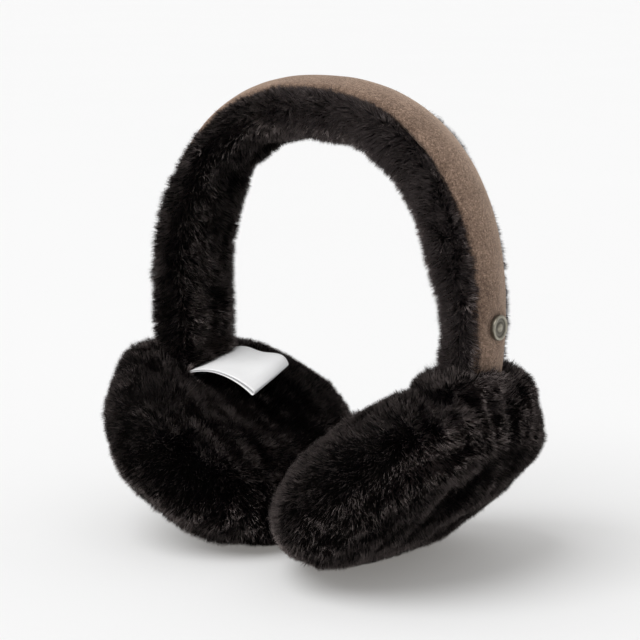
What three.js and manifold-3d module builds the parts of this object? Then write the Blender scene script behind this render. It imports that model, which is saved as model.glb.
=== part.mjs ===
// Fur earmuffs standing on their two ear pads. Millimetres, +Z up.
// The arm with the stud is on the +X side, and the front is -Y.
// The origin is on the floor, under the middle of the whole object.
import * as THREE from 'three';
import { mergeVertices } from 'three/addons/utils/BufferGeometryUtils.js';
import Module from 'manifold-3d';

const wasm = await Module();
wasm.setup();

// Headband: an arch of fur with a domed strip of suede over its outside
const BAND_HALF_SPAN = 84; // from the middle plane to the suede's outer face
const BAND_RISE = 92.5; // from the widest place up to the top
const BAND_SQUARENESS = 2.28; // 2 is an ellipse, more has fuller shoulders
const BAND_DEPTH = 23; // at the top, from the suede's outer face to the fur's inner face
const ARM_DEPTH = 19.5; // the same where the arms go into the pads
const BAND_WIDTH = 33; // front to back over the fur
const SUEDE_WIDTH = 21; // front to back over the suede
const SUEDE_CROWN = 3; // how far the suede domes over its width
const SUEDE_WALL = 1.5;
const SUEDE_LAP = 3; // how far its long edges roll in past the dome
const BAND_CELLS_ALONG = 42;
const BAND_CELLS_ACROSS = 11;
const SUEDE_CELLS_ACROSS = 6;

// Ear pads: thick cushions that lean in over their feet
const PAD_HEIGHT = 112; // along the pad's own face, from its foot to its top
const PAD_LENGTH = 126; // front to back
const PAD_THICKNESS = 50;
const PAD_SQUARENESS = 2.4; // 2 is an ellipsoid, more has fuller edges
const PAD_CELLS = 9; // cells along each side of the six patches of a pad
const OUTER_PANEL_HEIGHT = 10; // of the shallow panel past the seam
const SEAM_DEPTH = 2.5;
const SEAM_HALF_WIDTH = 4;
const SEAM_GAP = 0.35; // between the two panels
const FOOT_DEPTH = 2.6; // how far resting on the floor has flattened a pad
const FOOT_BARE = 1; // height over the floor without locks
const COLLAR_WIDTH = 9; // of the roll of fur round the arm, out to its crease
const COLLAR_RISE = 2;
const CREASE_DEPTH = 4;
const CREASE_HALF_WIDTH = 3;
const DISH_DEPTH = 5; // of the hollow in the inner panel, for the ear
const DISH_RADIUS = 44;
const DISH_ABOVE_MIDDLE = 12;

// How each pad takes the end of its arm. Lean is in degrees from upright, drop is how far the
// arm of the first pad reaches below the band's widest place, and the seats are the place of the
// arm's end in shares of the pad's half thickness, outwards, and of its half height, upwards.
// Forward is the pad's shift to the front, as a share of its half length.
const RIGHT_ARM_DROP = 34.5;
const PADS = [
  { name: 'right', side: 1, lean: 47, forward: 0.11, seatOut: -0.18, seatUp: 0.66 },
  { name: 'left', side: -1, lean: 54, forward: -0.05, seatOut: -0.39, seatUp: 0.55 },
];

// Fur
const LOCK_RISE = 2.2; // height of a lock over the skin under it
const LOCK_LEAN = 0.36; // how far its tip leans, as a share of its cell
const LOCK_STRAY = 0.6; // how far it may turn from the comb's way, in radians
const LOCK_HEIGHTS = [0.6, 1.3]; // least and most, as shares of the rise
const LOCK_SPREAD = 0.3; // how far the band's locks turn to its edges, as a share of their fall
const CELL_STRAY = 0.5; // how far a pad's cells are shaken out of line, as a share of a cell
const PILE_UNEVEN = 0.8; // how far the skin under the locks rises and falls
const BARE_END = 14; // length without locks at each end of the band, held in a pad
const LOCK_FADE = 6; // length over which the locks grow to full height

// Slow waves over the fur: the radians that each turns through, along x, y and z, over the height
// of a pad, and its height as a share of the unevenness
const SWELLS = [
  { x: 29, y: 6, z: 8, height: 0.7 },
  { x: -13, y: 27, z: 6, height: 0.6 },
  { x: 9, y: -11, z: 24, height: 0.6 },
];

// Care label: a blank strip of white cloth, folded double and sewn in at the left arm's foot.
// Its two long edges run from the root to the fold in slopes, in degrees up from level.
const LABEL_WIDTH = 34;
const LABEL_LENGTH = 36;
const LABEL_WALL = 1;
const LABEL_FOLD_GAP = 0.6; // between its two layers
const LABEL_ROOT = 5; // length held in the seam
const LABEL_PLACE = { out: -0.75, up: 0.44, forward: 0.32 }; // its front corner, in shares of the pad
const LABEL_SKEW = 8; // how far the back corner lies outwards of the front one
const LABEL_BACK_RISE = 2.5; // of the back corner at the root over the front one
const LABEL_SLOPES = [
  { along: 0, front: 18, back: 30 },
  { along: 0.25, front: 6, back: 8 },
  { along: 0.45, front: -6, back: -14 },
  { along: 0.7, front: -17, back: 4 },
  { along: 0.86, front: -24, back: -6 },
  { along: 1, front: -32, back: -70 },
];
const LABEL_CELLS_ALONG = 10;
const LABEL_CELLS_ACROSS = 5;
const LABEL_FOLD_STEPS = 4;

// Stud: a round button whose post goes through the suede into the fur
const STUD_RADIUS = 5;
const STUD_THICKNESS = 1.8;
const STUD_RIM = 1.1;
const STUD_DISH = 0.6;
const STUD_BEVEL = 0.3;
const STUD_DOME_RADIUS = 2;
const STUD_DOME_RISE = 0.5;
const STUD_DOME_STEPS = 3;
const STUD_POST_RADIUS = 1.5;
const STUD_POST_LENGTH = 6;
const STUD_SINK = 0.4; // how far it presses into the suede's crown
const STUD_DROP = 1.5; // below the band's widest place
const STUD_SIDES = 24;

const FIT_GAP = 0.3; // between pieces that touch
const ARM_SLACK = 0.3; // more room than that round the uneven fur of an arm's end

const UP = new THREE.Vector3(0, 0, 1);
const BACK = new THREE.Vector3(0, 1, 0);
const { clamp, degToRad, lerp, smoothstep } = THREE.MathUtils;

// Solids from closed meshes, and back

function toSolid(geometry) {
  const bare = geometry.clone();
  bare.deleteAttribute('normal');
  bare.deleteAttribute('uv');
  const merged = mergeVertices(bare, 1e-4);
  return new wasm.Manifold(new wasm.Mesh({
    numProp: 3,
    vertProperties: new Float32Array(merged.attributes.position.array),
    triVerts: new Uint32Array(merged.index.array),
  }));
}

function toGeometry(solid) {
  const mesh = solid.getMesh();
  const geometry = new THREE.BufferGeometry();
  geometry.setAttribute('position', new THREE.BufferAttribute(mesh.vertProperties, 3));
  geometry.setIndex(new THREE.BufferAttribute(mesh.triVerts, 1));
  return geometry;
}

// The main body of a cut solid, without the slivers that the cut leaves beside it
function mainBody(solid) {
  return solid.decompose().reduce((main, body) => (body.volume() > main.volume() ? body : main));
}

function meshOf(name, geometry, finish) {
  const mesh = new THREE.Mesh(geometry, new THREE.MeshStandardMaterial(finish));
  mesh.name = name;
  return mesh;
}

// Evenly spread numbers from 0 to 1 that are the same on each run

function randomFrom(seed) {
  let state = seed;
  return () => {
    state = (Math.imul(state, 1664525) + 1013904223) >>> 0;
    return state / 4294967296;
  };
}

// A skin of four-sided cells. Where a cell has a lock, its middle rises to a leaning tip.

function furSkin(points, cells, lockShares, comb, random) {
  const positions = points.flatMap((p) => [p.x, p.y, p.z]);
  const index = [];
  cells.forEach((cell, number) => {
    const [a, b, c, d] = cell.map((i) => points[i]);
    const tip = new THREE.Vector3().add(a).add(b).add(c).add(d).multiplyScalar(1 / 4);
    const normal = new THREE.Vector3().subVectors(c, a).cross(new THREE.Vector3().subVectors(d, b)).normalize();
    const reach = Math.min(a.distanceTo(c), b.distanceTo(d)) * Math.SQRT1_2;
    const share = lockShares[number];
    const along = comb(tip).projectOnPlane(normal);
    along.applyAxisAngle(normal, lerp(-LOCK_STRAY, LOCK_STRAY, random())).normalize();
    tip.addScaledVector(along, reach * LOCK_LEAN * share);
    tip.addScaledVector(normal, LOCK_RISE * share * lerp(...LOCK_HEIGHTS, random()));
    const last = positions.length / 3;
    positions.push(tip.x, tip.y, tip.z);
    for (let k = 0; k < 4; k += 1) index.push(cell[k], cell[(k + 1) % 4], last);
  });
  return { positions, index };
}

function skinGeometry({ positions, index }) {
  const geometry = new THREE.BufferGeometry();
  geometry.setAttribute('position', new THREE.Float32BufferAttribute(positions, 3));
  geometry.setIndex(index);
  return geometry;
}

function unevenness(p) {
  return SWELLS.reduce((sum, swell) => sum + swell.height * Math.sin(p.dot(swell) / PAD_HEIGHT), 0);
}

// The ear pads

function power(value, exponent) {
  return Math.sign(value) * Math.abs(value) ** exponent;
}

class Pad {
  constructor(spec) {
    Object.assign(this, spec);
    const lean = degToRad(this.lean);
    this.out = new THREE.Vector3(this.side * Math.cos(lean), 0, -Math.sin(lean));
    this.up = new THREE.Vector3(this.side * Math.sin(lean), 0, Math.cos(lean));
    this.along = BACK.clone().multiplyScalar(-this.side);
    this.reachOut = PAD_THICKNESS / 2;
    this.reachUp = PAD_HEIGHT / 2;
    this.reachBack = PAD_LENGTH / 2;
    const dual = PAD_SQUARENESS / (PAD_SQUARENESS - 1);
    const halfSize = (out, up) => ((out * this.reachOut) ** dual + (up * this.reachUp) ** dual) ** (1 / dual);
    this.halfRise = halfSize(Math.sin(lean), Math.cos(lean));
    this.halfWidth = halfSize(Math.cos(lean), Math.sin(lean));
    this.centre = new THREE.Vector3(0, -this.forward * this.reachBack, this.halfRise - FOOT_DEPTH);
    this.seat = new THREE.Vector3()
      .addScaledVector(this.out, this.seatOut * this.reachOut)
      .addScaledVector(this.up, this.seatUp * this.reachUp);
  }

  // How far a point lies past the crease round the arm, in half widths of the crease
  pastCrease(point) {
    const fromArm = new THREE.Vector3().subVectors(point, this.centre).sub(this.seat);
    const [halfDepth, halfWidth] = [ARM_DEPTH / 2 + COLLAR_WIDTH, BAND_WIDTH / 2 + COLLAR_WIDTH];
    return ((Math.hypot(fromArm.x / halfDepth, fromArm.y / halfWidth) - 1) * halfDepth) / CREASE_HALF_WIDTH;
  }

  // Point of the plain cushion for a direction from its middle, and the way out of it there
  plain(direction) {
    const e = PAD_SQUARENESS;
    const flat = Math.hypot(direction.y, direction.z);
    const scale = (flat ** e + Math.abs(direction.x) ** e) ** (-1 / e);
    const d = direction.clone().multiplyScalar(scale);
    const local = new THREE.Vector3(d.x * this.reachOut, d.y * this.reachUp, d.z * this.reachBack);
    const edge = Math.hypot(d.y, d.z) ** (e - 2);
    const way = new THREE.Vector3(
      power(d.x, e - 1) / this.reachOut,
      (edge * d.y) / this.reachUp,
      (edge * d.z) / this.reachBack,
    );
    return { local, way: way.normalize() };
  }

  toWorld(local) {
    return new THREE.Vector3()
      .addScaledVector(this.out, local.x)
      .addScaledVector(this.up, local.y)
      .addScaledVector(this.along, local.z);
  }

  surface(direction) {
    const { local, way } = this.plain(direction);
    const seam = (local.x - (this.reachOut - OUTER_PANEL_HEIGHT)) / SEAM_HALF_WIDTH;
    const point = this.toWorld(local).add(this.centre);
    const crease = this.pastCrease(point);
    const over = smoothstep(local.y, 0, this.seat.length());
    let offset = PILE_UNEVEN * unevenness(point) - SEAM_DEPTH * Math.exp(-seam * seam);
    offset -= over * CREASE_DEPTH * Math.exp(-crease * crease);
    offset += over * COLLAR_RISE * smoothstep(-crease, 0, 2);
    const dish = Math.max(0, 1 - (Math.hypot(local.y - DISH_ABOVE_MIDDLE, local.z) / DISH_RADIUS) ** 2);
    if (local.x < 0) offset -= DISH_DEPTH * dish * dish;
    return point.addScaledVector(this.toWorld(way), offset);
  }
}

// A cube's grid, pushed out to the pad, gives cells of nearly one size with no poles
function padSkin(pad, random) {
  const box = new THREE.BoxGeometry(2, 2, 2, PAD_CELLS, PAD_CELLS, PAD_CELLS);
  box.deleteAttribute('normal');
  box.deleteAttribute('uv');
  const grid = mergeVertices(box, 1e-6);
  const points = [];
  for (let i = 0; i < grid.attributes.position.count; i += 1) {
    const corner = new THREE.Vector3().fromBufferAttribute(grid.attributes.position, i);
    const even = (v) => Math.tan((v * Math.PI) / 4);
    corner.set(even(corner.x), even(corner.y), even(corner.z));
    const nudge = new THREE.Vector3(random() - 0.5, random() - 0.5, random() - 0.5);
    corner.normalize().addScaledVector(nudge, CELL_STRAY / PAD_CELLS).normalize();
    points.push(pad.surface(corner));
  }
  const cells = [];
  const order = grid.index.array;
  for (let k = 0; k < order.length; k += 6) {
    cells.push([order[k], order[k + 1], order[k + 4], order[k + 2]]);
  }
  const lowestOf = (cell) => Math.min(...cell.map((i) => points[i].z));
  const lockShares = cells.map((cell) => smoothstep(lowestOf(cell), FOOT_BARE, FOOT_BARE + LOCK_FADE));
  const comb = (p) => new THREE.Vector3().subVectors(p, pad.centre).addScaledVector(UP, -pad.reachUp / 2);
  return furSkin(points, cells, lockShares, comb, random);
}

// The headband's line, seen from the front, runs from the right arm's end over to the left one's

class BandLine extends THREE.Curve {
  constructor(startAngle, endAngle) {
    super();
    this.startAngle = startAngle;
    this.endAngle = endAngle;
    this.arcLengthDivisions = 800;
  }

  getPoint(share, target = new THREE.Vector2()) {
    const angle = lerp(this.startAngle, this.endAngle, share);
    const bend = 2 / BAND_SQUARENESS;
    return target.set(BAND_HALF_SPAN * power(Math.cos(angle), bend), BAND_RISE * power(Math.sin(angle), bend));
  }
}

function angleAtDrop(drop) {
  return Math.asin((drop / BAND_RISE) ** (BAND_SQUARENESS / 2));
}

// The outer face's point and its way out, at a point of the line
function faceAt(point) {
  const e = BAND_SQUARENESS - 1;
  const out = new THREE.Vector2(
    power(point.x / BAND_HALF_SPAN, e) / BAND_HALF_SPAN,
    power(point.y / BAND_RISE, e) / BAND_RISE,
  );
  return { point, out: out.normalize() };
}

// Puts a section's point, across the band and deep from its outer face, in place
function inBand(face, across, deep) {
  return new THREE.Vector3(face.point.x - face.out.x * deep, across, face.point.y - face.out.y * deep + widestHeight);
}

// Depth of the band from its outer face, which is less down the arms
function depthAt(face) {
  const angle = Math.atan2(face.point.y / BAND_RISE, Math.abs(face.point.x) / BAND_HALF_SPAN);
  const fromTop = clamp((Math.PI / 2 - angle) / (Math.PI / 2 + angleAtDrop(RIGHT_ARM_DROP)), 0, 1);
  return lerp(BAND_DEPTH, ARM_DEPTH, fromTop * fromTop);
}

const rightPad = new Pad(PADS[0]);
const leftPad = new Pad(PADS[1]);

// The arms' ends, and from them the height of the band and the places of the pads
const widestHeight = rightPad.centre.z + rightPad.seat.z + RIGHT_ARM_DROP;
const leftArmDrop = widestHeight - leftPad.centre.z - leftPad.seat.z;
const line = new BandLine(-angleAtDrop(RIGHT_ARM_DROP), Math.PI + angleAtDrop(leftArmDrop));

function placePad(pad, share) {
  const face = faceAt(line.getPoint(share));
  const end = inBand(face, 0, depthAt(face) / 2);
  pad.centre.x = end.x - pad.seat.x;
}
placePad(rightPad, 0);
placePad(leftPad, 1);

// Sections of the band: across and deep, round from the front edge of the suede

function suedeOutline() {
  const half = SUEDE_WIDTH / 2;
  const dome = (across) => SUEDE_CROWN * (across / half) ** 2;
  const outside = [];
  for (let i = 0; i <= SUEDE_CELLS_ACROSS; i += 1) {
    const across = lerp(-half, half, i / SUEDE_CELLS_ACROSS);
    outside.push([across, dome(across)]);
  }
  const inside = outside.map(([across, deep]) => [across * (1 - SUEDE_WALL / half), deep + SUEDE_WALL]).reverse();
  const hem = SUEDE_CROWN + SUEDE_LAP;
  return [
    ...outside,
    [half, hem],
    [half - SUEDE_WALL, hem],
    ...inside,
    [-half + SUEDE_WALL, hem],
    [-half, hem],
  ];
}

// The fur's outline past the suede's edge, in shares of the half width and of the depth
const FUR_OUTLINE = [
  { across: 0.78, deep: 0.24 },
  { across: 0.93, deep: 0.38 },
  { across: 1.00, deep: 0.54 },
  { across: 0.98, deep: 0.71 },
  { across: 0.89, deep: 0.86 },
  { across: 0.70, deep: 0.97 },
  { across: 0.40, deep: 1.00 },
];

function furOutline(depth, grow = 0) {
  const half = BAND_WIDTH / 2 + grow;
  const start = [SUEDE_WIDTH / 2 + FIT_GAP + grow, SUEDE_CROWN + SUEDE_WALL / 2];
  const side = [start, ...FUR_OUTLINE.map((row) => [row.across * half, row.deep * (depth + grow)])];
  const mirrored = side.map(([across, deep]) => [-across, deep]).reverse();
  const curve = new THREE.SplineCurve([...side, ...mirrored].map(([a, d]) => new THREE.Vector2(a, d)));
  return curve.getSpacedPoints(BAND_CELLS_ACROSS).map((p) => [p.x, p.y]);
}

// Under the suede the fur's core is domed as the suede is, with a slot for each rolled edge
function coreOutline() {
  const half = SUEDE_WIDTH / 2;
  const floor = SUEDE_CROWN + SUEDE_LAP + FIT_GAP;
  const slot = half - SUEDE_WALL - FIT_GAP;
  const top = [];
  for (let i = 0; i <= SUEDE_CELLS_ACROSS; i += 1) {
    const across = lerp(-slot, slot, i / SUEDE_CELLS_ACROSS);
    top.push([across, SUEDE_CROWN * (across / slot) ** 2 + SUEDE_WALL + FIT_GAP]);
  }
  return [[-half - FIT_GAP, floor], [-slot, floor], ...top, [slot, floor], [half + FIT_GAP, floor]];
}

// Four-sided cells between rings of equal length, for the points from one number to another
function cellsBetween(rings, from, to) {
  const count = rings[0].length;
  const cells = [];
  for (let i = 0; i + 1 < rings.length; i += 1) {
    for (let j = from; j < to; j += 1) {
      const k = (j + 1) % count;
      cells.push([i * count + j, i * count + k, (i + 1) * count + k, (i + 1) * count + j]);
    }
  }
  return cells;
}

function halved(cells) {
  return cells.flatMap(([a, b, c, d]) => [a, b, c, a, c, d]);
}

// Closes the first and last ring with triangles that stay inside their outlines
function endCaps(outlines) {
  const capOf = (outline, first, same) => {
    const shape = outline.map(([x, y]) => new THREE.Vector2(x, y));
    const faces = THREE.ShapeUtils.triangulateShape(shape, []);
    const keep = same !== THREE.ShapeUtils.isClockWise(shape);
    return faces.flatMap(([a, b, c]) => (keep ? [a, b, c] : [a, c, b]).map((i) => i + first));
  };
  const last = outlines.length - 1;
  return [...capOf(outlines[0], 0, false), ...capOf(outlines[last], last * outlines[0].length, true)];
}

// The solid through flat outlines, once each of their points is put in place
function solidThrough(outlines, place) {
  const rings = outlines.map((outline, i) => outline.map((point) => place(i, point)));
  const index = [...halved(cellsBetween(rings, 0, rings[0].length)), ...endCaps(outlines)];
  return toSolid(skinGeometry({ positions: rings.flat().flatMap((p) => p.toArray()), index }));
}

function evenShares(count, from = 0, to = 1) {
  return Array.from({ length: count + 1 }, (_, i) => lerp(from, to, i / count));
}

function faceAtShare(share) {
  return faceAt(line.getPoint(line.getUtoTmapping(share)));
}

function sweptBand(outlineAt, faces) {
  return solidThrough(faces.map(outlineAt), (i, [across, deep]) => inBand(faces[i], across, deep));
}

function bandSuede() {
  return sweptBand(() => suedeOutline(), evenShares(BAND_CELLS_ALONG).map(faceAtShare));
}

// The fur body: a bare core under the suede, and cells with locks over all that shows
function bandFur(random) {
  const length = line.getLength();
  const faces = evenShares(BAND_CELLS_ALONG).map(faceAtShare);
  const outlines = faces.map((face) => [...coreOutline(), ...furOutline(depthAt(face))]);
  const rings = outlines.map((outline, i) => outline.map(([across, deep]) => inBand(faces[i], across, deep)));
  const core = coreOutline().length;
  const count = rings[0].length;
  const pileAt = (i) => {
    const fromEnd = length * Math.min(i / BAND_CELLS_ALONG, 1 - i / BAND_CELLS_ALONG);
    return smoothstep(fromEnd, BARE_END, BARE_END + LOCK_FADE);
  };
  rings.forEach((ring, i) => {
    const middle = inBand(faces[i], 0, depthAt(faces[i]) / 2);
    for (let j = core + 1; j + 1 < count; j += 1) {
      const way = new THREE.Vector3().subVectors(ring[j], middle).normalize();
      ring[j].addScaledVector(way, pileAt(i) * PILE_UNEVEN * unevenness(ring[j]));
    }
  });
  const cells = cellsBetween(rings, core, count - 1);
  const lockShares = cells.map(([first]) => {
    const ring = Math.floor(first / count);
    return Math.min(pileAt(ring), pileAt(ring + 1));
  });
  const comb = (p) => new THREE.Vector3(0, Math.sign(p.y) * LOCK_SPREAD, -1);
  const skin = furSkin(rings.flat(), cells, lockShares, comb, random);
  skin.index.push(...halved(cellsBetween(rings, 0, core)), ...halved(cellsBetween(rings, count - 1, count)));
  skin.index.push(...endCaps(outlines));
  return toSolid(skinGeometry(skin));
}

// What an arm's end takes up in its pad, with the gap all round and room for the first locks
function armPocket(end) {
  const outlineAt = (face) => {
    const half = SUEDE_WIDTH / 2 + FIT_GAP;
    const across = evenShares(SUEDE_CELLS_ACROSS, -half, half);
    const top = across.map((a) => [a, SUEDE_CROWN * (a / half) ** 2 - FIT_GAP]);
    return [...top, ...furOutline(depthAt(face), FIT_GAP + ARM_SLACK + face.locks)];
  };
  const length = line.getLength();
  const count = Math.ceil((BAND_CELLS_ALONG * (BARE_END + PAD_THICKNESS)) / length);
  const highest = LOCK_RISE * LOCK_HEIGHTS[1] + PILE_UNEVEN;
  const faces = evenShares(count, 0, count / BAND_CELLS_ALONG).map((share) => {
    const locks = highest * smoothstep(share * length, BARE_END - LOCK_FADE, BARE_END);
    return { ...faceAtShare(end === 0 ? share : 1 - share), locks };
  });
  const foot = { ...faces[0], point: faces[0].point.clone() };
  foot.point.addScaledVector(new THREE.Vector2().subVectors(faces[0].point, faces[1].point).normalize(), FIT_GAP);
  const all = [foot, ...faces];
  return sweptBand(outlineAt, end === 0 ? all : all.reverse());
}

// The pads are flat where they press against each other, on both sides of this upright plane
const touchPlane = (rightPad.centre.x - rightPad.halfWidth + leftPad.centre.x + leftPad.halfWidth) / 2;

function pastTouch(pad) {
  const size = 4 * BAND_HALF_SPAN;
  const block = new THREE.BoxGeometry(size, size, size);
  return toSolid(block.translate(touchPlane - (pad.side * (size - FIT_GAP)) / 2, 0, 0));
}

// A block on one side of the seam's plane
function besideSeam(pad, side) {
  const size = PAD_LENGTH + PAD_HEIGHT;
  const block = new THREE.BoxGeometry(size, size, size);
  const seam = pad.reachOut - OUTER_PANEL_HEIGHT - (side * SEAM_GAP) / 2;
  const basis = new THREE.Matrix4().makeBasis(pad.out, pad.up, pad.along);
  const place = pad.centre.clone().addScaledVector(pad.out, seam + (side * size) / 2);
  return toSolid(block.applyMatrix4(basis.setPosition(place)));
}

function underFloor() {
  const size = 4 * BAND_HALF_SPAN;
  return toSolid(new THREE.BoxGeometry(size, size, size).translate(0, 0, -size / 2));
}

// The label's strip at a share of its width, from the front: its points seen from the front
// as [x, z, slope], from the root held in the seam to the fold
function labelStrip(pad, share) {
  const slopeAt = (along) => {
    const next = Math.max(1, LABEL_SLOPES.findIndex((row) => row.along >= along));
    const [low, high] = [LABEL_SLOPES[next - 1], LABEL_SLOPES[next]];
    const part = (along - low.along) / (high.along - low.along);
    return degToRad(lerp(lerp(low.front, high.front, part), lerp(low.back, high.back, part), share));
  };
  const corner = pad.centre.clone()
    .addScaledVector(pad.out, LABEL_PLACE.out * pad.reachOut)
    .addScaledVector(pad.up, LABEL_PLACE.up * pad.reachUp);
  let [x, z] = [corner.x + share * LABEL_SKEW * pad.side, corner.z + share * LABEL_BACK_RISE];
  const root = slopeAt(0);
  const strip = [[x - LABEL_ROOT * Math.cos(root), z - LABEL_ROOT * Math.sin(root), root]];
  const step = LABEL_LENGTH / LABEL_CELLS_ALONG;
  for (let i = 0; i <= LABEL_CELLS_ALONG; i += 1) {
    const slope = slopeAt(clamp((i + 0.5) / LABEL_CELLS_ALONG, 0, 1));
    strip.push([x, z, slope]);
    x += step * Math.cos(slope);
    z += step * Math.sin(slope);
  }
  return strip;
}

function labelSolid(pad, outlineOf, sideways = 0) {
  const shares = evenShares(LABEL_CELLS_ACROSS);
  const front = pad.centre.y - LABEL_PLACE.forward * pad.reachBack;
  const acrossAt = (share) => front + share * LABEL_WIDTH + (share * 2 - 1) * sideways;
  return solidThrough(
    shares.map((share) => outlineOf(labelStrip(pad, share))),
    (i, [x, z]) => new THREE.Vector3(x, acrossAt(shares[i]), z),
  );
}

function beside(strip, height) {
  return strip.map(([x, z, slope]) => [x - height * Math.sin(slope), z + height * Math.cos(slope)]);
}

// Half a turn round the strip's last point, from its upper side down or from its lower side up
function turnRound(strip, radius, from) {
  const [x, z, slope] = strip[strip.length - 1];
  return evenShares(LABEL_FOLD_STEPS).slice(1, -1).map((share) => {
    const angle = slope + from * Math.PI * (0.5 - share);
    return [x + radius * Math.cos(angle), z + radius * Math.sin(angle)];
  });
}

function careLabel(pad) {
  const inner = LABEL_FOLD_GAP / 2;
  const outer = inner + LABEL_WALL;
  return labelSolid(pad, (strip) => [
    ...beside(strip, outer), ...turnRound(strip, outer, 1), ...beside(strip, -outer).reverse(),
    ...beside(strip, -inner), ...turnRound(strip, inner, -1), ...beside(strip, inner).reverse(),
  ]);
}

// The room that the label takes, with the gap round it
function labelRoom(pad) {
  const outer = LABEL_FOLD_GAP / 2 + LABEL_WALL + FIT_GAP;
  return labelSolid(pad, (strip) => {
    const [x, z, slope] = strip[0];
    const longer = [[x - FIT_GAP * Math.cos(slope), z - FIT_GAP * Math.sin(slope), slope], ...strip];
    return [...beside(longer, outer), ...turnRound(strip, outer, 1), ...beside(longer, -outer).reverse()];
  }, FIT_GAP);
}

function studGeometry(grow = 0) {
  const radius = STUD_RADIUS + grow;
  const top = STUD_THICKNESS;
  const floor = top - STUD_DISH;
  const profile = [
    [0, -STUD_POST_LENGTH - grow],
    [STUD_POST_RADIUS + grow, -STUD_POST_LENGTH - grow],
    [STUD_POST_RADIUS + grow, -grow],
    [radius, -grow],
    [radius, top - STUD_BEVEL],
    [radius - STUD_BEVEL, top],
    [radius - STUD_RIM, top],
    [radius - STUD_RIM - STUD_BEVEL, floor],
    ...evenShares(STUD_DOME_STEPS, 0, Math.PI / 2).map((turn) => [
      STUD_DOME_RADIUS * Math.cos(turn),
      floor + STUD_DOME_RISE * Math.sin(turn),
    ]),
  ];
  const geometry = new THREE.LatheGeometry(profile.map(([r, h]) => new THREE.Vector2(r, h)), STUD_SIDES);
  const face = faceAt(line.getPoint(shareAtDrop(STUD_DROP)));
  const out = new THREE.Vector3(face.out.x, 0, face.out.y);
  const turn = new THREE.Quaternion().setFromUnitVectors(BACK, out);
  const place = inBand(face, 0, STUD_SINK);
  return geometry.applyQuaternion(turn).translate(place.x, place.y, place.z);
}

function shareAtDrop(drop) {
  return (-angleAtDrop(drop) - line.startAngle) / (line.endAngle - line.startAngle);
}

// Assembly

const FUR = { color: 0x1d1817, roughness: 0.9, metalness: 0 };
const SUEDE = { color: 0x7c6757, roughness: 0.95, metalness: 0 };
const CLOTH = { color: 0xe9e9e8, roughness: 0.8, metalness: 0 };
const PEWTER = { color: 0x8c8678, roughness: 0.4, metalness: 0.9 };

const random = randomFrom(7);
const studRoom = toSolid(studGeometry(FIT_GAP));
const labelSpace = labelRoom(leftPad);
const floorBlock = underFloor();

const parts = [
  meshOf('band_suede', toGeometry(bandSuede().subtract(studRoom)), SUEDE),
  meshOf('band_fur', toGeometry(mainBody(bandFur(random).subtract(studRoom).subtract(labelSpace))), FUR),
  meshOf('care_label', toGeometry(careLabel(leftPad)), CLOTH),
  meshOf('stud', toGeometry(toSolid(studGeometry())), PEWTER),
];
for (const [pad, end] of [[rightPad, 0], [leftPad, 1]]) {
  const whole = toSolid(skinGeometry(padSkin(pad, random)));
  const cushion = whole.subtract(armPocket(end)).subtract(floorBlock).subtract(pastTouch(pad));
  const inner = mainBody(cushion.subtract(besideSeam(pad, 1)).subtract(labelSpace));
  const outer = mainBody(cushion.subtract(besideSeam(pad, -1)));
  parts.push(meshOf(`pad_${pad.name}_inner`, toGeometry(inner), FUR));
  parts.push(meshOf(`pad_${pad.name}_outer`, toGeometry(outer), FUR));
}

const earmuffs = new THREE.Group();
const inPlace = new THREE.Group();
inPlace.add(...parts);
const box = new THREE.Box3().setFromObject(inPlace);
const middle = box.getCenter(new THREE.Vector3());
inPlace.position.set(-middle.x, -middle.y, -box.min.z);
earmuffs.add(inPlace);

export default earmuffs;
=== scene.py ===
"""Looks for the fur earmuffs: pile on the band and the pads, suede, a folded label, a metal stud."""
import math

import bpy
import numpy as np
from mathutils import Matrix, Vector, noise
from mathutils.bvhtree import BVHTree
from mathutils.kdtree import KDTree


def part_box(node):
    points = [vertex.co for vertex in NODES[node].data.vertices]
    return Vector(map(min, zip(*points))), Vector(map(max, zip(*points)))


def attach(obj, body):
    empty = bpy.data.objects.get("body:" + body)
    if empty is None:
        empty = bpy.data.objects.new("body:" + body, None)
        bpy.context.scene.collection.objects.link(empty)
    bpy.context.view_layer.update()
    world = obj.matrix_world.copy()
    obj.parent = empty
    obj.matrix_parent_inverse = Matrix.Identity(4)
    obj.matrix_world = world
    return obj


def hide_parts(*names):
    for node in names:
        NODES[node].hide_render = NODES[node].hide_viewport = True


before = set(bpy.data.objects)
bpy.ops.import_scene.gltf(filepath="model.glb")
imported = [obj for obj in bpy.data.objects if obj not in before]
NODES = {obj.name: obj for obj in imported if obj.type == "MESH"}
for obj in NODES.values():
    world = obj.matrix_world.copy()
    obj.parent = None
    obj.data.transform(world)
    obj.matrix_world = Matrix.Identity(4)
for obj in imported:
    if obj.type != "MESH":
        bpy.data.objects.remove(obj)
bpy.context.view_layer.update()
MM = 0.001
SEED = 11
rng = np.random.default_rng(SEED)
noise.seed_set(SEED)

# Camera: the photograph's pinhole, aimed at a point of the object that shows at AIM_PIXEL
FRAME_PIXELS = 640
SENSOR = 36.0
CAMERA_AZIMUTH, CAMERA_ELEVATION = math.radians(37.06), math.radians(10.88)
CAMERA_DISTANCE = 0.8088
CAMERA_FOCAL_PIXELS = 1955.99
CAMERA_AIM = Vector((3.496, 1.998, 95.4)) * MM
AIM_PIXEL = (325.07, 322.3)


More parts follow.
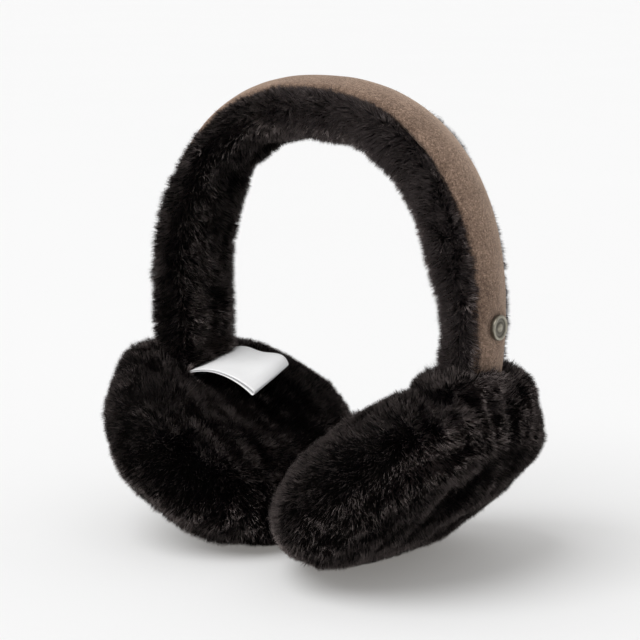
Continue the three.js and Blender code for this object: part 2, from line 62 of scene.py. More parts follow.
def make_camera():
    data = bpy.data.cameras.new("camera")
    camera = bpy.data.objects.new("camera", data)
    bpy.context.scene.collection.objects.link(camera)
    away = Vector((
        math.sin(CAMERA_AZIMUTH) * math.cos(CAMERA_ELEVATION),
        -math.cos(CAMERA_AZIMUTH) * math.cos(CAMERA_ELEVATION),
        math.sin(CAMERA_ELEVATION),
    ))
    camera.location = CAMERA_AIM + away * CAMERA_DISTANCE
    camera.rotation_euler = (-away).to_track_quat("-Z", "Y").to_euler()
    data.sensor_width = SENSOR
    data.lens = SENSOR * CAMERA_FOCAL_PIXELS / FRAME_PIXELS
    data.shift_x = (FRAME_PIXELS / 2 - AIM_PIXEL[0]) / FRAME_PIXELS
    data.shift_y = (AIM_PIXEL[1] - FRAME_PIXELS / 2) / FRAME_PIXELS
    data.clip_start, data.clip_end = 0.05, 100
    bpy.context.scene.camera = camera


# Materials

class Material:
    """A node material, with short calls for its nodes."""

    def __init__(self, name):
        self.material = bpy.data.materials.new(name)
        self.material.use_nodes = True
        self.tree = self.material.node_tree
        self.shader = self.tree.nodes["Principled BSDF"]
        self.place = self.node("ShaderNodeTexCoord").outputs["Object"]

    def node(self, kind, **settings):
        made = self.tree.nodes.new(kind)
        for key, value in settings.items():
            setattr(made, key, value)
        return made

    def link(self, source, target):
        self.tree.links.new(source, target)

    def set(self, **values):
        for key, value in values.items():
            self.shader.inputs[key.replace("_", " ")].default_value = value

    def noise(self, scale, detail, roughness=0.5):
        made = self.node("ShaderNodeTexNoise")
        made.inputs["Scale"].default_value = scale
        made.inputs["Detail"].default_value = detail
        made.inputs["Roughness"].default_value = roughness
        self.link(self.place, made.inputs["Vector"])
        return made.outputs["Fac"]

    def ramp(self, source, *stops):
        made = self.node("ShaderNodeValToRGB")
        ramp = made.color_ramp
        while len(ramp.elements) < len(stops):
            ramp.elements.new(0.5)
        for element, (position, colour) in zip(ramp.elements, stops):
            element.position = position
            element.color = (*colour, 1) if hasattr(colour, "__len__") else (colour,) * 3 + (1,)
        self.link(source, made.inputs["Fac"])
        return made.outputs["Color"]

    def maths(self, operation, first, second):
        made = self.node("ShaderNodeMath", operation=operation)
        for value, socket in zip((first, second), made.inputs):
            if isinstance(value, (int, float)):
                socket.default_value = value
            else:
                self.link(value, socket)
        return made.outputs[0]

    def blend(self, factor, first, second):
        made = self.node("ShaderNodeMix", data_type="RGBA")
        for value, index in ((factor, 0), (first, 6), (second, 7)):
            if isinstance(value, tuple):
                made.inputs[index].default_value = (*value, 1)
            else:
                self.link(value, made.inputs[index])
        return made.outputs[2]

    def attribute(self, name):
        return self.node("ShaderNodeAttribute", attribute_name=name).outputs["Fac"]

    def colour(self, source):
        self.link(source, self.shader.inputs["Base Color"])

    def rough(self, source):
        self.link(source, self.shader.inputs["Roughness"])

    def bump(self, height, distance, strength=1.0):
        made = self.node("ShaderNodeBump")
        made.inputs["Distance"].default_value = distance
        made.inputs["Strength"].default_value = strength
        self.link(height, made.inputs["Height"])
        self.link(made.outputs["Normal"], self.shader.inputs["Normal"])


FUR_ROOT = (0.0016, 0.0013, 0.0011)
FUR_TIP = (0.003, 0.0025, 0.0021)
# The next tone is the top of the random tone and the first step of the painted highlights; the palest one is
# painted highlight only.
FUR_PATCH_AND_HIGHLIGHT = (0.019, 0.0157, 0.015)
FUR_PAINTED_HIGHLIGHT = (0.062, 0.051, 0.05)
FUR_SHEEN = (0.5, 0.42, 0.4)
SHADE_SHARE, PATCH_SHARE = 0.6, 0.2  # how much a strand's shade attribute (its random tone plus painted highlights and painted shade) and the pale patches count in its tone


def pile_material():
    m = Material("fur_pile")
    patches = m.ramp(m.noise(48, 3), (0.45, 0.0), (0.68, 1.0))
    fine = m.noise(900, 2)
    tone = m.maths("ADD", m.maths("MULTIPLY", m.attribute("shade"), SHADE_SHARE),
                   m.maths("MULTIPLY", patches, PATCH_SHARE))
    # The two palest stops are painted highlight, reached where the painted-light bumps lift a strand's shade.
    tips = m.ramp(tone, (0.06, FUR_ROOT), (0.3, FUR_TIP), (0.6, FUR_PATCH_AND_HIGHLIGHT), (1.0, FUR_PAINTED_HIGHLIGHT))
    along = m.maths("ADD", m.attribute("tip"), m.maths("MULTIPLY", fine, 0.15))
    m.colour(m.blend(m.ramp(along, (0.2, 0.0), (0.95, 1.0)), FUR_ROOT, tips))
    m.rough(m.ramp(fine, (0.3, 0.5), (0.7, 0.62)))
    m.set(Specular_IOR_Level=0.015, Sheen_Weight=1.0, Sheen_Roughness=0.22, Sheen_Tint=(*FUR_SHEEN, 1))
    return m.material


def skin_material():
    m = Material("fur_skin")
    m.colour(m.ramp(m.noise(300, 3), (0.3, FUR_ROOT), (0.75, FUR_TIP)))
    m.rough(m.ramp(m.noise(120, 2), (0.3, 0.8), (0.7, 0.95)))
    m.set(Specular_IOR_Level=0.1, Sheen_Weight=0.1)
    m.bump(m.noise(700, 3), 0.4 * MM)
    return m.material


SUEDE_DARK = (0.078, 0.048, 0.034)
SUEDE_MID = (0.18, 0.12, 0.087)
SUEDE_LIGHT = (0.36, 0.25, 0.187)
SUEDE_SHEEN = (0.85, 0.66, 0.53)


def suede_material():
    m = Material("suede")
    cloudy = m.noise(60, 3)
    grain = m.noise(2000, 3, 0.6)
    nap = m.noise(900, 4, 0.7)
    tone = m.maths("ADD", m.maths("MULTIPLY", cloudy, 0.16),
                   m.maths("ADD", m.maths("MULTIPLY", grain, 0.44), m.maths("MULTIPLY", nap, 0.4)))
    m.colour(m.ramp(tone, (0.4, SUEDE_DARK), (0.5, SUEDE_MID), (0.6, SUEDE_LIGHT)))
    m.rough(m.ramp(grain, (0.3, 0.85), (0.7, 1.0)))
    m.set(Specular_IOR_Level=0.1, Sheen_Weight=0.9, Sheen_Roughness=0.45, Sheen_Tint=(*SUEDE_SHEEN, 1))
    m.bump(m.maths("ADD", grain, nap), 0.3 * MM)
    return m.material


CLOTH_DARK, CLOTH_LIGHT = (0.94, 0.94, 0.945), (0.975, 0.975, 0.975)


def cloth_material():
    m = Material("label_cloth")
    weave = m.node("ShaderNodeTexWave", wave_type="BANDS", bands_direction="X")
    weft = m.node("ShaderNodeTexWave", wave_type="BANDS", bands_direction="Y")
    for wave in (weave, weft):
        wave.inputs["Scale"].default_value = 1300
        wave.inputs["Distortion"].default_value = 0.6
        m.link(m.place, wave.inputs["Vector"])
    threads = m.maths("MULTIPLY", weave.outputs["Fac"], weft.outputs["Fac"])
    cloudy = m.noise(150, 3)
    tone = m.maths("ADD", m.maths("MULTIPLY", threads, 0.5), m.maths("MULTIPLY", cloudy, 0.5))
    m.colour(m.ramp(tone, (0.1, CLOTH_DARK), (0.7, CLOTH_LIGHT)))
    m.rough(m.ramp(cloudy, (0.3, 0.5), (0.7, 0.65)))
    m.set(Specular_IOR_Level=0.35, Sheen_Weight=0.15)
    m.bump(threads, 0.06 * MM, 0.6)
    return m.material


PEWTER_DARK, PEWTER_LIGHT = (0.2, 0.182, 0.142), (0.48, 0.45, 0.37)
# A darker colour for the stud's dish and the foot of its rim, as far as the profile's recess column says.
PEWTER_HOLLOW_DARK = (0.05, 0.045, 0.038)


def pewter_material():
    m = Material("pewter")
    cast = m.noise(900, 5, 0.65)
    worn = m.noise(260, 3)
    recess = m.attribute("recess")
    tone = m.maths("ADD", m.maths("MULTIPLY", cast, 0.5), m.maths("MULTIPLY", worn, 0.5))
    metal = m.ramp(tone, (0.3, PEWTER_DARK), (0.7, PEWTER_LIGHT))
    # Darker in the dish and at the foot of the rim, by the recess value.
    m.colour(m.blend(m.maths("MULTIPLY", recess, 0.8), metal, PEWTER_HOLLOW_DARK))
    m.rough(m.ramp(worn, (0.3, 0.28), (0.7, 0.5)))
    m.set(Metallic=0.9)
    m.bump(cast, 0.08 * MM, 0.5)
    return m.material


FLOOR_DARK, FLOOR_LIGHT = (0.674, 0.681, 0.69), (0.678, 0.685, 0.694)
FLOOR_GLOW = (1, 0.96, 0.91)  # keeps the shadows pale and a little warm


def floor_material():
    m = Material("floor")
    m.colour(m.ramp(m.noise(3, 2), (0.3, FLOOR_DARK), (0.7, FLOOR_LIGHT)))
    m.rough(m.ramp(m.noise(2, 2), (0.3, 0.7), (0.7, 0.8)))
    m.set(Specular_IOR_Level=0.1, Emission_Color=(*FLOOR_GLOW, 1), Emission_Strength=0.19)
    return m.material


# Meshes

def mesh_object(name, points, faces, material):
    mesh = bpy.data.meshes.new(name)
    faces = np.asarray(faces, dtype=np.int32)
    sides = faces.shape[1]
    mesh.vertices.add(len(points))
    mesh.vertices.foreach_set("co", np.asarray(points, dtype=np.float32).ravel())
    mesh.loops.add(faces.size)
    mesh.loops.foreach_set("vertex_index", faces.ravel())
    mesh.polygons.add(len(faces))
    mesh.polygons.foreach_set("loop_start", np.arange(0, faces.size, sides, dtype=np.int32))
    mesh.polygons.foreach_set("use_smooth", np.ones(len(faces), dtype=bool))
    mesh.update(calc_edges=True)
    mesh.validate()
    mesh.materials.append(material)
    made = bpy.data.objects.new(name, mesh)
    bpy.context.scene.collection.objects.link(made)
    return made


def points_of(mesh):
    points = np.empty(len(mesh.vertices) * 3, dtype=np.float32)
    mesh.vertices.foreach_get("co", points)
    return points.reshape(-1, 3).astype(float)


def triangles_of(mesh):
    mesh.calc_loop_triangles()
    corners = np.empty(len(mesh.loop_triangles) * 3, dtype=np.int32)
    mesh.loop_triangles.foreach_get("vertices", corners)
    return corners.reshape(-1, 3)


def normals_of(mesh):
    normals = np.empty(len(mesh.vertices) * 3, dtype=np.float32)
    mesh.vertices.foreach_get("normal", normals)
    return normals.reshape(-1, 3).astype(float)


def unit(vectors):
    return vectors / np.maximum(np.linalg.norm(vectors, axis=-1, keepdims=True), 1e-9)


def apply_modifiers(made):
    bpy.context.view_layer.objects.active = made
    for modifier in list(made.modifiers):
        bpy.ops.object.modifier_apply(modifier=modifier.name)


def seat(piece, slot, *replaced):
    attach(piece, "root")
    if replaced:
        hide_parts(*replaced)


# Fur: a soft skin in place of each solid, and strands rooted on it

SKIN_VOXEL = 1.7 * MM
MELT_SHARE, MELT_ROUNDS = 0.5, 12
SKIN_SINK = 2.8 * MM  # how far the skin lies under the solid's mean surface
SINK_BY_ROOM = 1.2  # with less room than 1 / 1.2, the skin sinks less
LEAST_SKIN_HEIGHT = 0.1 * MM
SEAM_FILL, SEAM_REACH = 2.7 * MM, 7.0 * MM  # the pile closes over the seam between two panels

LEAST_ROOM = 1.3 * MM  # no strand grows where a neighbour is nearer than this
FULL_ROOM = 9.0 * MM  # strands have their full length where nothing is nearer than this
ROOM_NEAR_PIECES, ROOM_NEAR_FLOOR = 0.25, 0.3  # the share of the room that is left at a touch
FACES_DOWN = -0.2  # a normal's height under which the floor takes room
BALD_ROOM = 0.3  # no strand grows in a smaller share of the room
FLOOR_ROOM = 0.25 * MM
OFF_SOLID = 0.05  # millimetres over the solid where the look for neighbours starts

STRAND_LENGTH, BAND_STRAND_LENGTH, LONGEST_STRAND = 5.6 * MM, 5.4 * MM, 7.6 * MM
LENGTH_RANGE, LONGEST_RANGE = (0.7, 1.06), (0.8, 1.0)
GUARD_HAIRS, GUARD_HAIR_LENGTH = 0.01, 1.2
STRAND_WIDTH, WIDTH_RANGE = 0.37 * MM, (0.7, 1.25)  # at the root
ROOT_DEPTH = 0.4 * MM
STRANDS_PER_MM2 = 10.0
STRANDS_A_PIECE = 150000

STRANDS_A_TUFT, STRANDS_A_LOCK, LEAST_GROUPS = 700, 30, 8
SWIRLS = ((0.7, 26 * MM, 3), (0.8, 8 * MM, 5))  # share in the lean, size, and which part of the noise
SWIRL_STEPS = (7.1, 3.3, 5.7)  # from one part of the noise to the next
LEAN_SHARE, LEAN_RANGE = 0.8, (0.5, 0.85)
TUFT_STRAY, LOCK_STRAY, STRAND_STRAY = 0.13, 0.11, 0.21
TUFT_LENGTH_RANGE, LOCK_PULL = (0.9, 1.08), 0.35  # tips are drawn to the tip that leads their lock
TUFT_SHADE, LOCK_SHADE, STRAND_SHADE = 0.36, 0.1, 0.12
TURN_STRAY, NORMAL_STRAY, NORMAL_TILT = 0.5, 0.03, 0.1


def bvh_of(names):
    points, faces = [], []
    for name in names:
        mesh = NODES[name].data
        faces.extend((triangles_of(mesh) + len(points)).tolist())
        points.extend(points_of(mesh).tolist())
    return BVHTree.FromPolygons(points, faces)


def room_over(point, normal, own, others):
    """The share of a strand's full length that is free over a point of the skin."""
    on_solid = own.find_nearest(point)[0]
    hit = others.ray_cast(on_solid + Vector(normal) * OFF_SOLID * MM, normal, FULL_ROOM)[3]
    gap = FULL_ROOM if hit is None else hit
    if gap < LEAST_ROOM:
        return 0
    down = FULL_ROOM if normal[2] >= FACES_DOWN else on_solid.z / -normal[2]
    return min(1, ROOM_NEAR_PIECES + gap / FULL_ROOM, ROOM_NEAR_FLOOR + down / FULL_ROOM)


def soft_skin(name, nodes, material, fuller):
    """The nodes' solids as one, their facets melted, sunk where fur can grow, and each point's room."""
    points, faces = [], []
    for node in nodes:
        faces.append(triangles_of(NODES[node].data) + sum(len(part) for part in points))
        points.append(points_of(NODES[node].data))
    made = mesh_object(name, np.concatenate(points), np.concatenate(faces), material)
    remesh = made.modifiers.new("voxels", "REMESH")
    remesh.mode, remesh.voxel_size, remesh.use_smooth_shade = "VOXEL", SKIN_VOXEL, True
    smooth = made.modifiers.new("melt", "SMOOTH")
    smooth.factor, smooth.iterations = MELT_SHARE, MELT_ROUNDS
    apply_modifiers(made)
    points, normals = points_of(made.data), normals_of(made.data)
    own = bvh_of(nodes)
    others = bvh_of([n for n in NODES if n not in (*nodes, "stud")])
    each = [bvh_of([node]) for node in nodes]
    room, fill = np.zeros(len(points)), np.zeros(len(points))
    for i, (point, normal) in enumerate(zip(points, normals)):
        room[i] = room_over(point, normal, own, others)
        if len(each) > 1:
            apart = max(panel.find_nearest(point)[3] for panel in each)
            fill[i] = SEAM_FILL * max(0.0, 1 - apart / SEAM_REACH)
    sunk = np.minimum(1, room * SINK_BY_ROOM)
    sink = SKIN_SINK - fuller(points, normals) - fill
    points -= normals * (sink * sunk)[:, None]
    points[:, 2] = np.maximum(points[:, 2], LEAST_SKIN_HEIGHT)
    made.data.vertices.foreach_set("co", points.astype(np.float32).ravel())
    made.data.update()
    seat(made, "fur", *nodes)
    return made, room


def swirl(points, size, which):
    """A slowly turning random direction for each point."""
    shift = Vector([which * step for step in SWIRL_STEPS])
    return np.array([noise.noise_vector(Vector(p) / size + shift) for p in points])


def areas(points, corners):
    a, b, c = (points[corners[:, k]] for k in range(3))
    return np.linalg.norm(np.cross(b - a, c - a), axis=1) / 2


def scatter(mesh, room, count):
    """Random roots on a mesh, where there is room: their places, ways up, room and nearby vertices."""
    points, normals, corners = points_of(mesh), normals_of(mesh), triangles_of(mesh)
    area = areas(points, corners)
    chosen = rng.choice(len(corners), size=count, p=area / area.sum())
    u, v = rng.random(count), rng.random(count)
    flip = u + v > 1
    u[flip], v[flip] = 1 - u[flip], 1 - v[flip]
    weights = np.stack([1 - u - v, u, v], axis=1)
    corners = corners[chosen]
    roots = (points[corners] * weights[:, :, None]).sum(axis=1)
    ups = unit((normals[corners] * weights[:, :, None]).sum(axis=1))
    rooms = (room[corners] * weights).sum(axis=1)
    keep = rooms > BALD_ROOM
    return roots[keep], ups[keep], rooms[keep], corners[keep, 0]


def nearest(points, centres):
    tree = KDTree(len(centres))
    for i, centre in enumerate(centres):
        tree.insert(centre, i)
    tree.balance()
    return np.array([tree.find(p)[1] for p in points])


def grow(name, skin, room, comb, painted_light, material):
    """Strands on a skin, combed, gathered in small locks inside larger tufts."""
    mesh = skin.data
    skin_points = points_of(mesh)
    area = areas(skin_points, triangles_of(mesh)).sum()
    roots, ups, rooms, vertex = scatter(mesh, room, int(area / MM**2 * STRANDS_PER_MM2))
    count = len(roots)
    way, length = comb(skin_points)
    for share, size, which in SWIRLS:
        way = way + share * swirl(skin_points, size, which)
    lean, length = way[vertex], length[vertex]

    tufts = nearest(roots, roots[: max(LEAST_GROUPS, count // STRANDS_A_TUFT)])
    locks = nearest(roots, roots[: max(LEAST_GROUPS, count // STRANDS_A_LOCK)])
    tuft_lean = rng.normal(0, TUFT_STRAY, (count, 3))[tufts]
    tuft_length = rng.uniform(*TUFT_LENGTH_RANGE, count)[tufts]
    tuft_shade = (rng.random(count) ** 3 * TUFT_SHADE)[tufts]
    lock_lean = rng.normal(0, LOCK_STRAY, (count, 3))[locks]
    lock_shade = rng.uniform(0.0, LOCK_SHADE, count)[locks]

    lean = lean * LEAN_SHARE + tuft_lean + lock_lean + rng.normal(0, STRAND_STRAY, (count, 3))
    lean -= ups * (lean * ups).sum(axis=1)[:, None]
    lean /= np.maximum(1, np.linalg.norm(lean, axis=1))[:, None]
    ways = unit(ups + lean * rng.uniform(*LEAN_RANGE, count)[:, None])
    lengths = length * rooms * tuft_length * rng.uniform(*LENGTH_RANGE, count)
    lengths *= np.where(rng.random(count) < GUARD_HAIRS, GUARD_HAIR_LENGTH, 1.0)
    lengths = np.minimum(lengths, LONGEST_STRAND * rng.uniform(*LONGEST_RANGE, count))
    tips = roots + ways * lengths[:, None]
    pull = rng.uniform(0.0, LOCK_PULL, count)[:, None]
    tips += (tips[locks] - tips) * pull
    tips[:, 2] = np.maximum(tips[:, 2], FLOOR_ROOM)

    roots = roots - ups * ROOT_DEPTH
    across = unit(np.cross(tips - roots, ups + rng.normal(0, TURN_STRAY, (count, 3))))
    half = (STRAND_WIDTH / 2 * rng.uniform(*WIDTH_RANGE, count))[:, None] * across
    strands = np.stack([roots - half, roots + half, tips], axis=1)
    # A strand's shade is its random tone plus the painted highlights and painted shade at its root.
    shade = tuft_shade + lock_shade + rng.uniform(0.0, STRAND_SHADE, count) + painted_light(roots)
    faced = NORMAL_TILT * unit(np.cross(across, tips - roots))
    out = unit(ups + faced + rng.normal(0, NORMAL_STRAY, (count, 3)))
    order = np.argsort(roots[:, 1], kind="stable")
    pieces = max(1, math.ceil(count / STRANDS_A_PIECE))
    for number, part in enumerate(np.array_split(order, pieces)):
        strand_piece(f"{name}_pile_{number + 1}", strands[part], shade[part], out[part], material)


def strand_piece(name, strands, shade, out, material):
    """Strands as loose triangles, with their tones, their ways up and a cell of the texture square each."""
    count = len(strands)
    corners = strands.shape[1]
    faces = np.arange(count * corners).reshape(-1, corners)
    made = mesh_object(name, strands.reshape(-1, 3), faces, material)
    mesh = made.data
    tip = np.tile([0.0, 0.0, 1.0], count)
    for key, values in (("tip", tip), ("shade", np.repeat(shade, corners))):
        mesh.attributes.new(key, "FLOAT", "POINT").data.foreach_set("value", values.astype(np.float32))
    grid = math.ceil(math.sqrt(count))
    cell = np.stack([np.arange(count) % grid, np.arange(count) // grid], axis=1)[:, None, :]
    inside = np.array([[0.2, 0.1], [0.8, 0.1], [0.5, 0.9]])[None]
    places = ((cell + inside) / grid).reshape(-1, 2)
    mesh.uv_layers.new(name="OFBake").data.foreach_set("uv", places.astype(np.float32).ravel())
    mesh.normals_split_custom_set_from_vertices(np.repeat(out, corners, axis=0).tolist())
    seat(made, "fur")


# The headband's line, as in the solids

BAND_MIDDLE = Vector((3.496, 1.998)) * MM
BAND_HALF_SPAN, BAND_RISE, BAND_SQUARENESS = 84 * MM, 92.5 * MM, 2.28
WIDEST_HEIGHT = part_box("band_suede")[1].z - BAND_RISE
RIGHT_DROP, LEFT_DROP = 34.5 * MM, WIDEST_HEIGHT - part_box("band_suede")[0].z
SUEDE_HALF, SUEDE_CROWN, SUEDE_WALL, SUEDE_LAP = 10.5 * MM, 3 * MM, 1.2 * MM, 3 * MM
ARM_DEPTH, ARM_WIDTH = 19.5 * MM, 33 * MM
STUD_DROP, STUD_RADIUS = 1.5 * MM, 5 * MM
LINE_POINTS = 4000


def power(value, exponent):
    return math.copysign(abs(value) ** exponent, value)


def band_angle(drop):
    return math.asin((drop / BAND_RISE) ** (BAND_SQUARENESS / 2))


def band_face(angle):
    """The suede face's point over the middle of the band, and the way out, as (x, z) pairs."""
    bend = 2 / BAND_SQUARENESS
    x, z = BAND_HALF_SPAN * power(math.cos(angle), bend), BAND_RISE * power(math.sin(angle), bend)
    e = BAND_SQUARENESS - 1
    out = Vector((power(x / BAND_HALF_SPAN, e) / BAND_HALF_SPAN, power(z / BAND_RISE, e) / BAND_RISE))
    return Vector((x + BAND_MIDDLE.x, z + WIDEST_HEIGHT)), out.normalized()


def in_band(face, across, deep):
    point, out = face
    return Vector((point.x - out.x * deep, BAND_MIDDLE.y + across, point.y - out.y * deep))


def even_faces(count):
    """Faces at even distances along the line, from the right arm's end to the left one's."""
    first, last = -band_angle(RIGHT_DROP), math.pi + band_angle(LEFT_DROP)
    fine = [band_face(angle) for angle in np.linspace(first, last, LINE_POINTS)]
    steps = [0.0]
    for (p, _), (q, _) in zip(fine, fine[1:]):
        steps.append(steps[-1] + (q - p).length)
    wanted = np.linspace(0, steps[-1], count)
    return [fine[min(len(fine) - 1, int(i))] for i in np.searchsorted(steps, wanted)]


SUEDE_RINGS, SUEDE_ACROSS, SUEDE_ACROSS_INSIDE = 300, 29, 9
SUEDE_EDGE_WAVE, SUEDE_RIPPLE = 0.35 * MM, 0.12 * MM
WAVE_ALONG, WAVE_ACROSS, WAVE_PLACE = 0.045, 9.0, 2.0  # in the noise, a step for each ring and half width
RIPPLE_ALONG, RIPPLE_ACROSS, RIPPLE_PLACE = 0.12, 3, 7.0
SUEDE_ROLL, SUEDE_ROLL_SHARE = 0.5 * MM, 0.1  # the last tenth on each side turns down by this much
SUEDE_SIDE_BULGE, SUEDE_SIDE_HEIGHT = 0.1 * MM, 1.2 * MM
STUD_DENT, STUD_DENT_REACH, STUD_DENT_SLOPE = 0.75 * MM, STUD_RADIUS * 1.5, STUD_RADIUS * 0.4


def suede_depth(i, face, t, across, stud):
    """How far the suede lies under the line's face, at a share t of its half width."""
    ripple = noise.noise(Vector((i * RIPPLE_ALONG, t * RIPPLE_ACROSS, RIPPLE_PLACE)))
    deep = SUEDE_CROWN * t * t + SUEDE_RIPPLE * ripple
    edge = max(0.0, abs(t) - (1 - SUEDE_ROLL_SHARE)) / SUEDE_ROLL_SHARE
    deep += SUEDE_ROLL * edge * edge
    near = (in_band(face, across, deep) - stud).length
    return deep + STUD_DENT * min(1.0, max(0.0, (STUD_DENT_REACH - near) / STUD_DENT_SLOPE))


def suede_ring(i, face, stud):
    """A closed section of the suede: its top, a side, its underside and the other side."""
    wave = [noise.noise(Vector((i * WAVE_ALONG, side * WAVE_ACROSS, WAVE_PLACE))) for side in (-1, 1)]
    front, back = (SUEDE_HALF + SUEDE_EDGE_WAVE * w for w in wave)
    ring = []
    for t in np.linspace(-1, 1, SUEDE_ACROSS):
        across = t * (front if t < 0 else back)
        ring.append(in_band(face, across, suede_depth(i, face, t, across, stud)))
    low = SUEDE_CROWN + SUEDE_LAP
    bulge = low - SUEDE_SIDE_HEIGHT
    ring += [in_band(face, back + SUEDE_SIDE_BULGE, bulge), in_band(face, back, low)]
    ring.append(in_band(face, back - SUEDE_WALL, low))
    ring += [in_band(face, t * (back - SUEDE_WALL), SUEDE_CROWN * t * t + SUEDE_WALL)
             for t in np.linspace(1, -1, SUEDE_ACROSS_INSIDE)]
    ring.append(in_band(face, -front + SUEDE_WALL, low))
    ring += [in_band(face, -front, low), in_band(face, -front - SUEDE_SIDE_BULGE, bulge)]
    return ring


def tube_quads(rings, sides):
    """Faces between rings of points, each closed on itself."""
    quads = []
    for start in range(0, (rings - 1) * sides, sides):
        for j in range(sides):
            after = (j + 1) % sides
            quads.append([start + j, start + after, start + sides + after, start + sides + j])
    return quads


def make_suede(material):
    stud = in_band(band_face(-band_angle(STUD_DROP)), 0, 0)
    rings = [suede_ring(i, face, stud) for i, face in enumerate(even_faces(SUEDE_RINGS))]
    quads = tube_quads(len(rings), len(rings[0]))
    made = mesh_object("band_suede_strip", np.array([p for ring in rings for p in ring]), quads, material)
    seat(made, "suede", "band_suede")


# The label: one strip of cloth, folded double and sewn in at its two ends

LABEL_CORNER = Vector((-56.3, -15.0, 69.4)) * MM
LABEL_WIDTH, LABEL_LENGTH, LABEL_ROOT = 34 * MM, 36 * MM, 5 * MM
LABEL_SKEW, LABEL_BACK_RISE = 8 * MM, 2.5 * MM
LABEL_APART = (0.3 * MM, 0.95 * MM)  # half the distance between its two layers, at the root and the fold
LABEL_CLOTH = 0.28 * MM
LABEL_STEPS, LABEL_TURNS, LABEL_ROWS = 40, 8, 25
LABEL_SLOPES = (  # along, then the front edge's and the back edge's slope in degrees
    (0.0, 18, 30), (0.25, 6, 8), (0.45, -6, -14), (0.7, -17, 4), (0.86, -24, -6), (1.0, -32, -70),
)


def label_slope(along, share):
    """The slope at a share of the label's length, and at a share of its width from front to back."""
    places, *edges = zip(*LABEL_SLOPES)
    front, back = (np.interp(along, places, edge) for edge in edges)
    return math.radians(front + (back - front) * share)


def label_spine(share):
    """Points down the middle of the fold, from the sewn root on: x, z, slope and share of the length."""
    slope = label_slope(0, share)
    x = LABEL_CORNER.x - share * LABEL_SKEW - LABEL_ROOT * math.cos(slope)
    z = LABEL_CORNER.z + share * LABEL_BACK_RISE - LABEL_ROOT * math.sin(slope)
    step = (LABEL_LENGTH + LABEL_ROOT) / LABEL_STEPS
    spine = []
    for i in range(LABEL_STEPS + 1):
        along = max(0, (i + 0.5) * step - LABEL_ROOT) / LABEL_LENGTH
        slope = label_slope(along, share)
        spine.append((x, z, slope, along))
        x, z = x + step * math.cos(slope), z + step * math.sin(slope)
    return spine


def label_row(share):
    """One line of the strip: over the top, round the fold and back underneath."""
    spine = label_spine(share)
    y = LABEL_CORNER.y + share * LABEL_WIDTH
    at_root, at_fold = LABEL_APART
    apart = [at_root + (at_fold - at_root) * min(1, along) ** 2 for *_, along in spine]
    row = [(x - d * math.sin(slope), y, z + d * math.cos(slope)) for (x, z, slope, _), d in zip(spine, apart)]
    x, z, slope, _ = spine[-1]
    for k in range(1, LABEL_TURNS):
        turn = slope + math.pi * (0.5 - k / LABEL_TURNS)
        row.append((x + apart[-1] * math.cos(turn), y, z + apart[-1] * math.sin(turn)))
    for (x, z, slope, _), d in list(zip(spine, apart))[::-1]:
        row.append((x + d * math.sin(slope), y, z - d * math.cos(slope)))
    return row


def make_label(material):
    rows = [label_row(j / (LABEL_ROWS - 1)) for j in range(LABEL_ROWS)]
    count = len(rows[0])
    quads = [[j * count + i, (j + 1) * count + i, (j + 1) * count + i + 1, j * count + i + 1]
             for j in range(LABEL_ROWS - 1) for i in range(count - 1)]
    made = mesh_object("care_label_cloth", np.array([p for row in rows for p in row]), quads, material)
    thick = made.modifiers.new("thickness", "SOLIDIFY")
    thick.thickness, thick.offset = LABEL_CLOTH, 0
    apply_modifiers(made)
    seat(made, "cloth", "care_label")


# The stud: a dished disc with a rim and a small dome, on its post

STUD_PROFILE = (  # radius and height in millimetres, then how dark the recess is
    (0, -6, 0), (1.5, -6, 0), (1.5, 0, 0), (4.85, 0, 0.4), (5, 0.15, 0.6), (5, 1.45, 0.4), (4.9, 1.68, 0),
    (4.65, 1.8, 0), (4.15, 1.8, 0), (3.85, 1.68, 0.1), (3.7, 1.25, 0.9), (3.5, 1.2, 1), (2.9, 1.2, 0.7),
    (2.35, 1.2, 0.9), (2.05, 1.22, 1), (1.9, 1.45, 0.4), (1.5, 1.62, 0.1), (0.8, 1.72, 0), (0, 1.75, 0),
)
STUD_SIDES, STUD_SEAT = 72, 0.4 * MM


def make_stud(material):
    face = band_face(-band_angle(STUD_DROP))
    centre = in_band(face, 0, STUD_SEAT)
    out = Vector((face[1].x, 0, face[1].y))
    turn = out.to_track_quat("Z", "Y").to_matrix()
    angles = np.linspace(0, 2 * math.pi, STUD_SIDES, endpoint=False)
    points = [centre + turn @ (Vector((radius * math.cos(a), radius * math.sin(a), height)) * MM)
              for radius, height, _ in STUD_PROFILE for a in angles]
    made = mesh_object("stud_metal", np.array(points), tube_quads(len(STUD_PROFILE), STUD_SIDES), material)
    recess = np.repeat([row[2] for row in STUD_PROFILE], STUD_SIDES).astype(np.float32)
    made.data.attributes.new("recess", "FLOAT", "POINT").data.foreach_set("value", recess)
    seat(made, "pewter", "stud")


# Stage

FLOOR_REACH = 60.0
WORLD_LIGHT = 0.5  # white from all sides
SUNS = (  # name, where the light is, how wide it looks in degrees, strength
    ("key", (-0.18, -0.65, 1.0), 45, 1.85),
    ("top", (0.0, 0.0, 1.0), 100, 0.3),
    ("side", (-0.85, -0.5, 0.3), 70, 0.6),
)


def make_sun(name, place, width, strength):
    data = bpy.data.lights.new(name, "SUN")
    data.angle, data.energy = math.radians(width), strength
    light = bpy.data.objects.new(name, data)
    bpy.context.scene.collection.objects.link(light)
    light.rotation_euler = (-Vector(place)).to_track_quat("-Z", "Y").to_euler()


